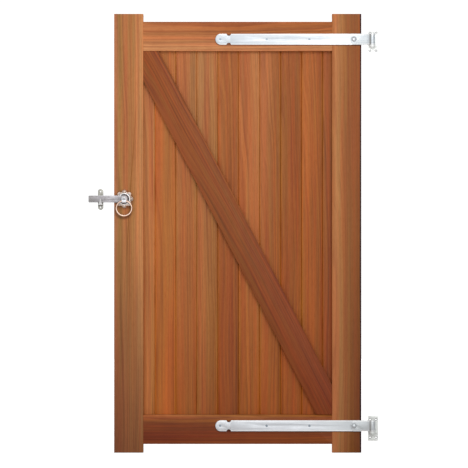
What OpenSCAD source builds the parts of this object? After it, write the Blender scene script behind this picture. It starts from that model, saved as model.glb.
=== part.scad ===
// Framed, ledged and braced garden gate with strap hinges and a ring latch.
// Millimetres, +Z up. The front, with the straps and the latch bar, faces -Y.
// The origin is the middle of the lower hook plate's holes, on the face of the post.
// The modules draw in the leaf's own measures: x from the middle of the leaf,
// y back from its front face, z up from the feet of the stiles.

/* [Leaf] */
// Width of the leaf over its stiles
leaf_w = 1000; // [960:5:1040]
// Height of the stiles
leaf_h = 1775; // [1650:5:1900]
// Thickness of the frame, front to back
frame_t = 45; // [43:1:48]
// Face width of the stiles and rails
member_w = 118; // [112:1:122]
// Height of the stiles above the top rail
top_horn = 32; // [20:1:45]
// Height of the bottom rail above the feet of the stiles
bottom_horn = 35; // [25:1:45]
// Bevel along the top front edge of the bottom rail
ledge_bevel = 8; // [4:1:12]

/* [Joints] */
// Thickness of the tenons
tenon_t = 15; // [12:1:15]
// Height of the tenons
tenon_h = 78; // [60:1:84]
// Length of the tenon wedges
wedge_l = 60; // [40:1:80]
// Thickness of a wedge at its thick end
wedge_t = 6; // [4:0.5:8]

/* [Boards] */
// Thickness of the boards
board_t = 20; // [19:0.5:21]
// Width that each full board covers
board_cover = 85; // [83:1:87]
// How much wider the ripped board at the latch side is than an even share
rip_bias = 4; // [0:1:6]
// Size of the V along each board's edges
board_v = 3.5; // [2:0.5:4.5]
// Gap left between two boards
board_gap = 0.6; // [0.4:0.1:1.5]
// Width and height of the rebate that the boards' edges and tops lie in
rebate_w = 12; // [10:1:14]
rebate_h = 25; // [20:1:30]

/* [Brace] */
// Width of the brace
brace_w = 110; // [95:1:120]
// How far the brace's face lies behind the frame's
brace_back = 2; // [1:0.5:4]

/* [Hinges] */
// Length of a strap from its tip to the axis of the pin
strap_l = 634; // [610:1:650]
// Width of a strap
strap_w = 44; // [40:1:48]
// Thickness of a strap
strap_t = 5; // [4:0.5:6]
// Diameter of the hook pins
pin_d = 12; // [11:0.5:14]
// Distance from the leaf's edge to the axis of the pins
pin_out = 44; // [42:1:50]
// Height of the lower strap's middle above the feet
lower_strap_z = 109; // [100:1:118]
// Depth of the upper strap's middle below the tops of the stiles
upper_strap_drop = 103; // [95:1:110]
// Length of the strap's lapped tail, from the axis of the pin
tail_l = 88; // [80:1:100]

/* [Hook plates] */
// Width of a hook plate
plate_w = 40; // [38:1:46]
// Height of a hook plate
plate_h = 100; // [96:1:110]
// Thickness of a hook plate
plate_t = 5; // [4:0.5:6]
// Distance between the plate's two columns of holes
hole_cols = 24; // [20:1:26]
// Distance between the plate's two rows of holes
hole_rows = 72; // [70:1:76]
// Diameter of the plate's holes
hole_d = 6.6; // [5:0.2:7]
// How far the leaf's front face stands proud of the posts
leaf_proud = 6; // [5:0.5:8]

/* [Latch] */
// Distance from the leaf's edge to the spindle
spindle_in = 41; // [38:1:50]
// Height of the spindle above the feet
spindle_z = 1026; // [900:1:1150]
// Length of the latch bar from the spindle to its tip
bar_l = 144; // [138:1:150]
// Width of the latch bar
bar_w = 28; // [24:1:30]
// Thickness of the latch bar
bar_t = 6; // [5:0.5:6]
// Distance from the spindle to the middle of the keep
keep_out = 95.5; // [90:0.5:102]
// Outer radius of the ring
ring_r = 33.8; // [30:0.2:36]
// Thickness of the ring
ring_d = 6.8; // [6:0.2:7]
// Outer radius of the rose over its lobes
rose_r = 36; // [34:0.5:38]

/* [Hidden] */
$fn = 64;
timber = [0.66, 0.41, 0.25];
timber_dark = [0.55, 0.31, 0.19];
timber_red = [0.60, 0.34, 0.20];
zinc = [0.82, 0.84, 0.86];
zinc_dull = [0.70, 0.71, 0.72];

// The opening inside the frame
opening_w = leaf_w - 2 * member_w;
opening_foot = bottom_horn + member_w;
opening_head = leaf_h - top_horn - member_w;
// The bottom rail is as thick as the frame less the boards
ledge_t = frame_t - board_t;
tenon_y = ledge_t - tenon_t - 1;
upper_rail_z = leaf_h - top_horn - member_w / 2;
lower_rail_z = bottom_horn + member_w / 2;
wedge_tip = 0.8;

// Boards: eight full ones between two ripped ones
full_boards = 8;
last_board = full_boards + 1;
rip_latch = (opening_w - full_boards * board_cover) / 2 + rip_bias;
rebate_play = 0.5;
board_edge = opening_w / 2 + rebate_w - rebate_play;
board_l = opening_head + rebate_h - rebate_play - bottom_horn;
tongue_t = 6;
tongue_l = 8;
tongue_play = 0.2;
nail_spread = 25;
top_nail_z = opening_head + rebate_h / 2;
low_nail_z = lower_rail_z - 20;
// The nails along the bottom rail are staggered by this height
nail_stagger = 40;
// How far the ripped boards' nails keep from the ends of the brace
brace_nail_in = 40;
brace_play = 0.4;

// Nails
nail_l = 36;
nail_r = 1.2;
nail_head_r = 2.5;
nail_head_t = 1.2;
nail_point = 3;
fix_play = 0.05;

// Straps
eye_play = 0.08;
eye_in = pin_d / 2 + eye_play;
eye_out = eye_in + strap_t;
pin_x = leaf_w / 2 + pin_out;
pin_y = -eye_out;
upper_strap_z = leaf_h - upper_strap_drop;
tail_slope = 30;
// Where the rolled tail comes down onto the strap
lap_x = pin_x - eye_in / tan(tail_slope / 2);
tail_x = pin_x - tail_l;
tail_point = 9;
// How far the rolled end and the flat parts of the strap run into each other
lap_join = 10;
scallop_x = pin_x - strap_l + 54;
scallop_r = 9;
strap_screws_x = [for (d = [19, 207, 380]) pin_x - strap_l + d];
screw_l = 25;
screw_r = 2.6;
screw_head_r = 4.9;
screw_head_h = 2.8;
screw_point = 6;
recess_l = 5;
recess_w = 1.2;
recess_depth = 1.5;
strap_bolt_x = leaf_w / 2 - 30;
bolt_r = 5;
bolt_neck = 10;
bolt_play = 0.1;
neck_play = 0.15;
washer_play = 0.3;
bolt_end = 4;
cup_r = 11;
cup_h = 5;
washer_r = 12;
washer_t = 2.5;
nut_r = 9.8;
nut_t = 8;

// Hook plates
plate_x = pin_x + 3.5;
plate_drop = 11;
plate_corner_r = 1.5;
lower_plate_z = lower_strap_z - plate_drop;
upper_plate_z = upper_strap_z - plate_drop;
shelf_t = 8;
shelf_w = 32;
shelf_nose_r = 12;
shelf_left = plate_x - shelf_w / 2 + 0.5;
shelf_neck_w = 23.5;
shelf_play = 0.3;
shelf_bore_play = 0.02;
pin_proud = 6;
pin_chamfer = 2;
rivet_r = 8;
rivet_t = 5;
rivet_chamfer = 1.5;

// Latch
spindle_x = -leaf_w / 2 + spindle_in;
rose_t = 2.5;
bead_r = 22;
bead_wire = 3;
lobe_r = 8;
lobe_ring = rose_r - lobe_r;
rose_screw_l = 16;
rose_screw_r = 1.6;
rose_screw_head_r = 3.2;
rose_screw_head_h = 1.8;
rose_screw_point = 3;
rose_screw_tip_r = 0.3;
slot_w = 0.9;
slot_depth = 0.9;
spindle_r = 6;
spindle_play = 0.05;
spindle_hole_r = 7.2;
spindle_end_play = 0.2;
// How far the spindle's ends lie behind the crowns of the bosses
spindle_sunk = 1.5;
bar_corner_r = 3;
square_w = 8.4;
square_play = 0.1;
// Distances out from the face of the leaf
bar_foot = rose_t + bead_wire + 0.5;
front_boss_foot = bar_foot + bar_t + 0.1;
back_boss_foot = bar_foot;
boss_r = 13;
boss_disc_t = 6;
boss_h = 18;
knuckle_h = 11;
knuckle_drop = 9;
knuckle_r = 6.4;
knuckle_w = 18.4;
relief_r = 5.3;
relief_l = 10;
ring_pin_r = 3.3;
ring_pin_play = 0.06;
ring_wire = ring_d / 2;
ring_mid = ring_r - ring_wire;
// Half the straight length of the ring that runs through the boss
ring_flat = 11.2;
ring_drop = sqrt(ring_mid * ring_mid - ring_flat * ring_flat);
ring_gap = asin(ring_flat / ring_mid);
// How far the straight runs on into the ring at each elbow
elbow_l = 1.2;
cross_pin_r = 1.5;

// Keep
keep_w = 22;
keep_up = 41;
keep_down = 44;
keep_t = 4;
keep_hole_r = 2.6;
keep_web_w = 20;
bar_play = 0.4;
keep_nose_h = 1;
keep_nose_t = 2;
keep_nose_w = 4;
// How far the nose's foot stands out from the bar, and its chin where it turns back
keep_chin_out = 18;
keep_chin_back = 3;
keep_chin_z = -22;
keep_lip_z = -24.5;
keep_root_z = -27;
keep_chin_w = 19;
keep_shoulder_w = 10;

// From the leaf's own measures to the part's origin
module placed() {
    translate([-plate_x, -leaf_proud, -lower_plate_z])
        children();
}

// Draw looking at the front: x right, y up, z out towards the viewer from the plane y = face
module facing_front(face = 0) {
    translate([0, face, 0])
        rotate([90, 0, 0])
            children();
}

// The same looking out from the back of the leaf
module facing_back(face = frame_t) {
    translate([0, face, 0])
        mirror([0, 1, 0])
            rotate([90, 0, 0])
                children();
}

module rounded_rect(w, h, r) {
    square([w - 2 * r, h], center = true);
    square([w, h - 2 * r], center = true);
    for (x = [-1, 1], y = [-1, 1])
        translate([x * (w / 2 - r), y * (h / 2 - r)])
            circle(r);
}

// A shallow dome with its flat side on z = 0
module dome(r, h) {
    ball = (r * r + h * h) / (2 * h);
    intersection() {
        translate([0, 0, h - ball])
            sphere(ball);
        cylinder(h = h + 1, r = r);
    }
}

// ---- Fixings: each points down -z with the top of its head at z = 0 ----

module nail() {
    rotate_extrude()
        polygon([
            [0, 0], [nail_head_r, 0], [nail_head_r, -nail_head_t],
            [nail_r, -2 * nail_head_t], [nail_r, nail_point - nail_l], [0, -nail_l]
        ]);
}

module nail_hole() {
    r = nail_r + fix_play;
    head = nail_head_r + fix_play;
    rotate_extrude()
        polygon([
            [0, 1], [head, 1], [head, -nail_head_t - fix_play],
            [r, -2 * nail_head_t - fix_play], [r, -nail_l - 1], [0, -nail_l - 1]
        ]);
}

module countersunk_screw() {
    difference() {
        rotate_extrude()
            polygon([
                [0, 0], [screw_head_r, 0], [screw_r, -screw_head_h],
                [screw_r, screw_point - screw_l], [0, -screw_l]
            ]);
        for (turn = [0, 90])
            rotate([0, 0, turn])
                cube([recess_l, recess_w, 2 * recess_depth], center = true);
    }
}

module countersunk_hole() {
    r = screw_r + fix_play;
    head = screw_head_r + 2 * fix_play;
    rotate_extrude()
        polygon([
            [0, 1], [head, 1], [head, 0],
            [r, -screw_head_h], [r, -screw_l - 1], [0, -screw_l - 1]
        ]);
}

// A round-headed screw whose head stands on z = 0
module rose_screw() {
    difference() {
        union() {
            dome(rose_screw_head_r, rose_screw_head_h);
            translate([0, 0, rose_screw_point - rose_screw_l])
                cylinder(h = rose_screw_l - rose_screw_point, r = rose_screw_r);
            translate([0, 0, -rose_screw_l])
                cylinder(h = rose_screw_point, r1 = rose_screw_tip_r, r2 = rose_screw_r);
        }
        translate([0, 0, rose_screw_head_h])
            cube([2 * rose_screw_head_r + 2, slot_w, 2 * slot_depth], center = true);
    }
}

// Where the nails go: one in each ripped board and two in each full one
function joint_x(k) = -opening_w / 2 + rip_latch + k * board_cover;
function nail_xs(i) =
    i == 0 ? [(joint_x(0) - opening_w / 2) / 2]
    : i == last_board ? [(joint_x(full_boards) + opening_w / 2) / 2]
    : [for (s = [-1, 1]) joint_x(i - 0.5) + s * nail_spread];
function low_nail(i, n) = low_nail_z + nail_stagger * ((i + n) % 2);
// The ripped boards are nailed to the brace clear of its ends
function brace_nail(i) =
    brace_mid(i) + (i == 0 ? -brace_nail_in : i == last_board ? brace_nail_in : 0);
function brace_mid(i) =
    let (x = i == 0 || i == last_board ? nail_xs(i)[0] : joint_x(i - 0.5))
    opening_head - (x + opening_w / 2) * (opening_head - opening_foot) / opening_w;

module at_top_nails(i) {
    for (x = nail_xs(i))
        facing_back()
            translate([x, top_nail_z, 0])
                children();
}

module at_low_nails(i) {
    xs = nail_xs(i);
    for (n = [0 : len(xs) - 1])
        facing_back()
            translate([xs[n], low_nail(i, n), 0])
                children();
}

module at_brace_nails(i) {
    for (x = nail_xs(i))
        facing_back()
            translate([x, brace_nail(i), 0])
                children();
}

module at_strap_screws(z) {
    for (x = strap_screws_x)
        facing_front(-strap_t)
            translate([x, z, 0])
                children();
}

module bolt_hole(z) {
    facing_front()
        translate([strap_bolt_x, z, -frame_t - 1])
            cylinder(h = frame_t + 2, r = bolt_r + bolt_play);
}

// ---- Timber frame ----

// One wedge above or below a tenon (side 1 or -1), drawn at the hinge stile
module wedge(mid_z, side, past = 0) {
    out = leaf_w / 2;
    edge = tenon_h / 2;
    translate([0, tenon_y + tenon_t, mid_z])
        scale([1, 1, side])
            rotate([90, 0, 0])
                linear_extrude(tenon_t)
                    polygon(concat(
                        [[out - wedge_l, edge], [out + past, edge]],
                        past > 0 ? [[out + past, edge + wedge_t]] : [],
                        [[out, edge + wedge_t], [out - wedge_l, edge + wedge_tip]]
                    ));
}

module mortise(mid_z) {
    translate([opening_w / 2 - 1, tenon_y, mid_z - tenon_h / 2])
        cube([member_w + 2, tenon_t, tenon_h]);
    for (side = [-1, 1])
        wedge(mid_z, side, 1);
}

// A stile at the hinge side, with its rebate and its mortises
module stile_blank() {
    difference() {
        translate([opening_w / 2, 0, 0])
            cube([member_w, frame_t, leaf_h]);
        translate([opening_w / 2 - 1, ledge_t, bottom_horn])
            cube([rebate_w + 1, board_t + 1, board_l + rebate_play]);
        mortise(upper_rail_z);
        mortise(lower_rail_z);
    }
}

module hinge_stile() {
    color(timber)
        placed()
            difference() {
                stile_blank();
                bolt_hole(upper_strap_z);
                bolt_hole(lower_strap_z);
            }
}

module latch_stile() {
    color(timber)
        placed()
            difference() {
                mirror([1, 0, 0])
                    stile_blank();
                facing_front(-1)
                    translate([spindle_x, spindle_z, -frame_t - 2])
                        cylinder(h = frame_t + 4, r = spindle_hole_r);
                facing_front()
                    rose_screw_holes(0);
                facing_back()
                    rose_screw_holes(0);
            }
}

// A rail's tenons run right through both stiles
module tenon(mid_z) {
    translate([-leaf_w / 2, tenon_y, mid_z - tenon_h / 2])
        cube([leaf_w, tenon_t, tenon_h]);
}

module top_rail() {
    color(timber)
        placed()
            difference() {
                union() {
                    translate([-opening_w / 2, 0, opening_head])
                        cube([opening_w, frame_t, member_w]);
                    tenon(upper_rail_z);
                }
                translate([-opening_w / 2 - 1, ledge_t, opening_head - 1])
                    cube([opening_w + 2, board_t + 1, rebate_h + 1]);
                bolt_hole(upper_strap_z);
                at_strap_screws(upper_strap_z)
                    countersunk_hole();
                for (i = [0 : last_board])
                    at_top_nails(i)
                        nail_hole();
            }
}

module bottom_rail() {
    color(timber_dark)
        placed()
            difference() {
                union() {
                    translate([-opening_w / 2, 0, bottom_horn])
                        rotate([90, 0, 90])
                            linear_extrude(opening_w)
                                polygon([
                                    [0, 0], [ledge_t, 0], [ledge_t, member_w],
                                    [ledge_bevel, member_w], [0, member_w - ledge_bevel]
                                ]);
                    tenon(lower_rail_z);
                }
                bolt_hole(lower_strap_z);
                at_strap_screws(lower_strap_z)
                    countersunk_hole();
                for (i = [0 : last_board])
                    at_low_nails(i)
                        nail_hole();
            }
}

module tenon_wedges() {
    color(timber_red)
        placed()
            for (flip = [0, 1], mid_z = [upper_rail_z, lower_rail_z], side = [-1, 1])
                mirror([flip, 0, 0])
                    wedge(mid_z, side);
}

// ---- Boards ----

// A grooved edge, from front to back, and a tongued edge, from back to front
function grooved_edge(x) =
    let (e = x + board_gap / 2, y0 = ledge_t, y1 = frame_t,
        g0 = (y0 + y1 - tongue_t) / 2 - tongue_play, g1 = (y0 + y1 + tongue_t) / 2 + tongue_play,
        deep = e + tongue_l + 1)
    [
        [e + board_v, y0], [e, y0 + board_v], [e, g0], [deep, g0],
        [deep, g1], [e, g1], [e, y1 - board_v], [e + board_v, y1]
    ];
function tongued_edge(x) =
    let (e = x - board_gap / 2, y0 = ledge_t, y1 = frame_t,
        t0 = (y0 + y1 - tongue_t) / 2, t1 = (y0 + y1 + tongue_t) / 2)
    [
        [e - board_v, y1], [e, y1 - board_v], [e, t1], [x + tongue_l, t1],
        [x + tongue_l, t0], [e, t0], [e, y0 + board_v], [e - board_v, y0]
    ];
function left_edge(i) = i == 0 ? [[-board_edge, ledge_t], [-board_edge, frame_t]]
    : grooved_edge(joint_x(i - 1));
function right_edge(i) = i == last_board ? [[board_edge, frame_t], [board_edge, ledge_t]]
    : tongued_edge(joint_x(i));

module board(i, tint) {
    color(tint)
        placed()
            difference() {
                translate([0, 0, bottom_horn])
                    linear_extrude(board_l)
                        polygon(concat(left_edge(i), right_edge(i)));
                at_top_nails(i)
                    nail_hole();
                at_low_nails(i)
                    nail_hole();
                at_brace_nails(i)
                    nail_hole();
            }
}

module brace() {
    w = opening_w / 2 - brace_play;
    head = opening_head - brace_play;
    foot = opening_foot + brace_play;
    diagonal = norm([2 * w, head - foot]);
    // How far the brace's edges run along the rails and up the stiles from its corners
    along = brace_w / 2 * diagonal / (head - foot);
    up = brace_w / 2 * diagonal / (2 * w);
    color(timber_dark)
        placed()
            difference() {
                translate([0, ledge_t, 0])
                    rotate([90, 0, 0])
                        linear_extrude(ledge_t - brace_back)
                            polygon([
                                [-w, head], [along - w, head], [w, foot + up],
                                [w, foot], [w - along, foot], [-w, head - up]
                            ]);
                for (i = [0 : last_board])
                    at_brace_nails(i)
                        nail_hole();
            }
}

module top_board_nails() {
    color(zinc_dull)
        placed()
            for (i = [0 : last_board])
                at_top_nails(i)
                    nail();
}

module bottom_board_nails() {
    color(zinc_dull)
        placed()
            for (i = [0 : last_board])
                at_low_nails(i)
                    nail();
}

module brace_nails() {
    color(zinc_dull)
        placed()
            for (i = [0 : last_board])
                at_brace_nails(i)
                    nail();
}

// ---- Strap hinges ----

// The strap's end seen from above: rolled round the pin, with its tail laid back along the front
module eye_section() {
    lean = [-sin(tail_slope), -cos(tail_slope)];
    centre = [pin_x, pin_y];
    bend = strap_t * tan(tail_slope / 2);
    difference() {
        union() {
            translate(centre)
                circle(eye_out);
            polygon([
                [lap_x - lap_join, 0], [pin_x, 0], centre, centre + eye_out * lean,
                [lap_x - bend, -2 * strap_t], [lap_x - lap_join, -2 * strap_t]
            ]);
        }
        polygon([[lap_x, -strap_t], [pin_x, -strap_t], centre, centre + eye_in * lean]);
    }
}

module strap(z) {
    tip_r = strap_w / 2;
    neck_w = bolt_neck + 2 * neck_play;
    tip_x = pin_x - strap_l + tip_r;
    flat_end = lap_x - lap_join / 2;
    color(zinc)
        placed()
            difference() {
                union() {
                    facing_front()
                        linear_extrude(strap_t)
                            translate([0, z])
                                difference() {
                                    union() {
                                        translate([tip_x, 0])
                                            circle(tip_r);
                                        translate([tip_x, -strap_w / 2])
                                            square([flat_end - tip_x, strap_w]);
                                    }
                                    for (side = [-1, 1])
                                        translate([scallop_x, side * (strap_w / 2 + 1)])
                                            circle(scallop_r);
                                }
                    facing_front(-strap_t)
                        linear_extrude(strap_t)
                            translate([0, z])
                                polygon([
                                    [tail_x, 0], [tail_x + tail_point, -strap_w / 2],
                                    [flat_end, -strap_w / 2], [flat_end, strap_w / 2],
                                    [tail_x + tail_point, strap_w / 2]
                                ]);
                    translate([0, 0, z - strap_w / 2])
                        linear_extrude(strap_w)
                            eye_section();
                }
                translate([pin_x, pin_y, z - strap_w / 2 - 1])
                    cylinder(h = strap_w + 2, r = eye_in);
                at_strap_screws(z)
                    countersunk_hole();
                facing_front()
                    translate([strap_bolt_x, z, strap_t])
                        cube([neck_w, neck_w, 2 * strap_t + 2], center = true);
            }
}

module top_strap() {
    strap(upper_strap_z);
}

module bottom_strap() {
    strap(lower_strap_z);
}

module strap_screws() {
    color(zinc_dull)
        placed()
            for (z = [upper_strap_z, lower_strap_z])
                at_strap_screws(z)
                    countersunk_screw();
}

// Both bolts pass the lapped tail, the strap and the stile, with a square neck in the strap
module at_strap_bolts() {
    for (z = [upper_strap_z, lower_strap_z])
        facing_front()
            translate([strap_bolt_x, z, 0])
                children();
}

module strap_bolts() {
    shank = frame_t + washer_t + nut_t + bolt_end;
    color(zinc)
        placed()
            at_strap_bolts() {
                translate([0, 0, 2 * strap_t])
                    dome(cup_r, cup_h);
                translate([-bolt_neck / 2, -bolt_neck / 2, 0])
                    cube([bolt_neck, bolt_neck, 2 * strap_t]);
                translate([0, 0, -shank])
                    cylinder(h = shank, r = bolt_r);
            }
}

// The washers and nuts lie on the back of the hinge stile
module strap_bolt_washers() {
    color(zinc)
        placed()
            at_strap_bolts()
                translate([0, 0, -frame_t - washer_t])
                    difference() {
                        cylinder(h = washer_t, r = washer_r);
                        translate([0, 0, -1])
                            cylinder(h = washer_t + 2, r = bolt_r + washer_play);
                    }
}

module strap_bolt_nuts() {
    color(zinc)
        placed()
            at_strap_bolts()
                translate([0, 0, -frame_t - washer_t - nut_t])
                    difference() {
                        cylinder(h = nut_t, r = nut_r, $fn = 6);
                        translate([0, 0, -1])
                            cylinder(h = nut_t + 2, r = bolt_r + fix_play);
                    }
}

// ---- Hook plates ----

// A plate on the post with a shelf that carries the pin; z is the middle of the strap
module hook_plate(z) {
    shelf_top = z - strap_w / 2 - shelf_play;
    color(zinc)
        placed()
            difference() {
                union() {
                    facing_front(leaf_proud)
                        translate([plate_x, z - plate_drop, 0])
                            linear_extrude(plate_t)
                                rounded_rect(plate_w, plate_h, plate_corner_r);
                    translate([0, 0, shelf_top - shelf_t])
                        linear_extrude(shelf_t)
                            union() {
                                translate([pin_x, pin_y])
                                    circle(shelf_nose_r);
                                translate([shelf_left, pin_y])
                                    square([shelf_neck_w, leaf_proud - plate_t / 2 - pin_y]);
                                translate([shelf_left, pin_y / 2])
                                    square([shelf_w, leaf_proud - plate_t / 2 - pin_y / 2]);
                            }
                }
                translate([pin_x, pin_y, shelf_top - shelf_t - 1])
                    cylinder(h = shelf_t + 2, r = pin_d / 2 + shelf_bore_play);
                for (col = [-1, 1], row = [-1, 1])
                    facing_front(leaf_proud)
                        translate([plate_x, z - plate_drop, -1])
                            translate([col * hole_cols / 2, row * hole_rows / 2, 0])
                                cylinder(h = plate_t + 2, r = hole_d / 2);
            }
}

module hook_pin(z) {
    shelf_foot = z - strap_w / 2 - shelf_play - shelf_t;
    top = z + strap_w / 2 + pin_proud;
    foot = shelf_foot - rivet_t;
    color(zinc)
        placed()
            translate([pin_x, pin_y, 0])
                rotate_extrude()
                    polygon([
                        [0, foot], [rivet_r - rivet_chamfer, foot],
                        [rivet_r, foot + rivet_chamfer], [rivet_r, shelf_foot],
                        [pin_d / 2, shelf_foot], [pin_d / 2, top - pin_chamfer],
                        [pin_d / 2 - pin_chamfer, top], [0, top]
                    ]);
}

module lower_hook_plate() {
    hook_plate(lower_strap_z);
}

module upper_hook_plate() {
    hook_plate(upper_strap_z);
}

module lower_hook_pin() {
    hook_pin(lower_strap_z);
}

module upper_hook_pin() {
    hook_pin(upper_strap_z);
}

// ---- Latch ----

module at_spindle() {
    translate([spindle_x, spindle_z, 0])
        children();
}

module at_rose_screws() {
    at_spindle()
        for (turn = [45 : 90 : 315])
            rotate([0, 0, turn])
                translate([lobe_ring, 0, 0])
                    children();
}

// Holes for the rose's screws, from the height up above the face down into the wood
module rose_screw_holes(up) {
    at_rose_screws()
        translate([0, 0, -rose_screw_l])
            cylinder(h = rose_screw_l + up + 1, r = rose_screw_r + fix_play);
}

module rose() {
    difference() {
        union() {
            at_spindle() {
                linear_extrude(rose_t)
                    union() {
                        circle(lobe_ring + 1);
                        for (turn = [0 : 45 : 315])
                            rotate(turn)
                                translate([lobe_ring, 0])
                                    circle(lobe_r);
                    }
                translate([0, 0, rose_t])
                    rotate_extrude()
                        translate([bead_r, 0])
                            intersection() {
                                circle(bead_wire);
                                translate([-bead_wire, -1])
                                    square([2 * bead_wire, bead_wire + 1]);
                            }
            }
        }
        at_spindle()
            translate([0, 0, -1])
                cylinder(h = rose_t + 2, r = spindle_r + spindle_play);
        rose_screw_holes(rose_t);
    }
}

module front_rose() {
    color(zinc)
        placed()
            facing_front()
                rose();
}

module back_rose() {
    color(zinc)
        placed()
            facing_back()
                rose();
}

module front_rose_screws() {
    color(zinc_dull)
        placed()
            facing_front(-rose_t)
                at_rose_screws()
                    rose_screw();
}

module back_rose_screws() {
    color(zinc_dull)
        placed()
            facing_back(frame_t + rose_t)
                at_rose_screws()
                    rose_screw();
}

// A length of square bar about the spindle's axis
module square_bar(from, to, w) {
    translate([-w / 2, -w / 2, from])
        cube([w, w, to - from]);
}

module cross_hole(foot, r) {
    translate([0, 0, foot + boss_disc_t / 2])
        rotate([0, 90, 0])
            cylinder(h = 2 * boss_r + 2, r = r, center = true);
}

// Round where it turns in the roses, square where the bar and the bosses drive it
module latch_spindle() {
    neck = bar_foot - spindle_end_play;
    square_end = boss_h - spindle_sunk;
    color(zinc_dull)
        placed()
            facing_front()
                at_spindle()
                    difference() {
                        union() {
                            translate([0, 0, -frame_t - neck])
                                cylinder(h = frame_t + 2 * neck, r = spindle_r);
                            square_bar(neck - 1, front_boss_foot + square_end, square_w);
                            square_bar(-frame_t - back_boss_foot - square_end, 1 - frame_t - neck,
                                square_w);
                        }
                        cross_hole(front_boss_foot, cross_pin_r + fix_play);
                        cross_hole(-frame_t - back_boss_foot - boss_disc_t, cross_pin_r + fix_play);
                    }
}

module latch_bar() {
    end_r = bar_w / 2;
    corner = bar_corner_r;
    color(zinc)
        placed()
            facing_front()
                at_spindle()
                    translate([0, 0, bar_foot])
                        linear_extrude(bar_t)
                            difference() {
                                union() {
                                    circle(end_r);
                                    translate([corner - bar_l, -end_r])
                                        square([bar_l - corner, bar_w]);
                                    translate([-bar_l, corner - end_r])
                                        square([bar_l, bar_w - 2 * corner]);
                                    for (side = [-1, 1])
                                        translate([corner - bar_l, side * (end_r - corner)])
                                            circle(corner);
                                }
                                square(square_w + 2 * square_play, center = true);
                            }
}

// The boss that turns the spindle; its lower part is the knuckle that the ring hangs in
module boss(foot) {
    at_spindle()
        difference() {
            translate([0, 0, foot])
                union() {
                    cylinder(h = boss_disc_t, r = boss_r);
                    translate([0, 0, boss_disc_t])
                        dome(boss_r, boss_h - boss_disc_t);
                    translate([0, -knuckle_drop, knuckle_h])
                        rotate([0, 90, 0])
                            cylinder(h = knuckle_w, r = knuckle_r, center = true);
                }
            for (side = [-1, 1])
                translate([side * (knuckle_w + relief_l) / 2, -knuckle_drop, foot + knuckle_h])
                    rotate([0, 90, 0])
                        cylinder(h = relief_l, r = relief_r, center = true);
            translate([0, -knuckle_drop, foot + knuckle_h])
                rotate([0, 90, 0])
                    cylinder(h = knuckle_w + 2, r = ring_pin_r + ring_pin_play, center = true);
            square_bar(foot - 1, foot + boss_h + 1, square_w + 2 * square_play);
            cross_hole(foot, cross_pin_r + fix_play);
        }
}

module front_boss() {
    color(zinc)
        placed()
            facing_front()
                boss(front_boss_foot);
}

module back_boss() {
    color(zinc)
        placed()
            facing_back()
                boss(back_boss_foot);
}

// A pin across each boss and the spindle inside it
module boss_pins() {
    pin_l = 2 * boss_r - 2;
    color(zinc_dull)
        placed()
            facing_front()
                at_spindle()
                    for (foot = [front_boss_foot, -frame_t - back_boss_foot - boss_disc_t])
                        translate([0, 0, foot + boss_disc_t / 2])
                            rotate([0, 90, 0])
                                cylinder(h = pin_l, r = cross_pin_r, center = true);
}

// A ring with a straight top that runs through the boss's knuckle
module ring(foot) {
    at_spindle()
        translate([0, -knuckle_drop, foot + knuckle_h]) {
            rotate([0, 90, 0])
                cylinder(h = 2 * (ring_flat + elbow_l), r = ring_pin_r, center = true);
            translate([0, -ring_drop, 0])
                rotate([0, 0, 90 + ring_gap])
                    rotate_extrude(angle = 360 - 2 * ring_gap)
                        translate([ring_mid, 0])
                            circle(ring_wire);
        }
}

module front_ring() {
    color(zinc)
        placed()
            facing_front()
                ring(front_boss_foot);
}

module back_ring() {
    color(zinc)
        placed()
            facing_back()
                ring(back_boss_foot);
}

// The keep on the latch post: a plate with round ends and a nose that rises in front of the bar
module latch_keep() {
    r = keep_w / 2;
    // Distances out from the post and up from the bar's middle
    bar_back = leaf_proud + bar_foot;
    bar_front = bar_back + bar_t + bar_play;
    floor_z = -bar_w / 2 - bar_play;
    chin = -bar_front - keep_chin_out;
    plate_y = 1 - keep_t;
    // Half of the nose's outline from the front, from its foot up
    face = [
        [keep_chin_w / 2, keep_root_z - 1], [keep_shoulder_w / 2, floor_z],
        [keep_nose_w / 2, keep_nose_h + 1]
    ];
    color(zinc)
        placed()
            translate([spindle_x - keep_out, leaf_proud, spindle_z])
                difference() {
                    union() {
                        facing_front()
                            linear_extrude(keep_t)
                                union() {
                                    translate([-r, r - keep_down])
                                        square([keep_w, keep_up + keep_down - keep_w]);
                                    for (end = [keep_up - r, r - keep_down])
                                        translate([0, end])
                                            circle(r);
                                }
                        intersection() {
                            translate([-keep_web_w / 2, 0, 0])
                                rotate([90, 0, 90])
                                    linear_extrude(keep_web_w)
                                        polygon([
                                            [plate_y, keep_root_z],
                                            [chin + keep_chin_back, keep_lip_z], [chin, keep_chin_z],
                                            [-bar_front - keep_nose_t, keep_nose_h],
                                            [-bar_front, keep_nose_h], [-bar_front, floor_z],
                                            [plate_y, floor_z]
                                        ]);
                            facing_front(1)
                                linear_extrude(2 - chin)
                                    polygon([for (side = [-1, 1], k = [0 : 2])
                                        let (p = face[side < 0 ? k : 2 - k]) [side * p.x, p.y]
                                    ]);
                        }
                    }
                    for (end = [keep_up - r, r - keep_down])
                        facing_front(1)
                            translate([0, end, 0])
                                cylinder(h = keep_t + 2, r = keep_hole_r);
                }
}

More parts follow.
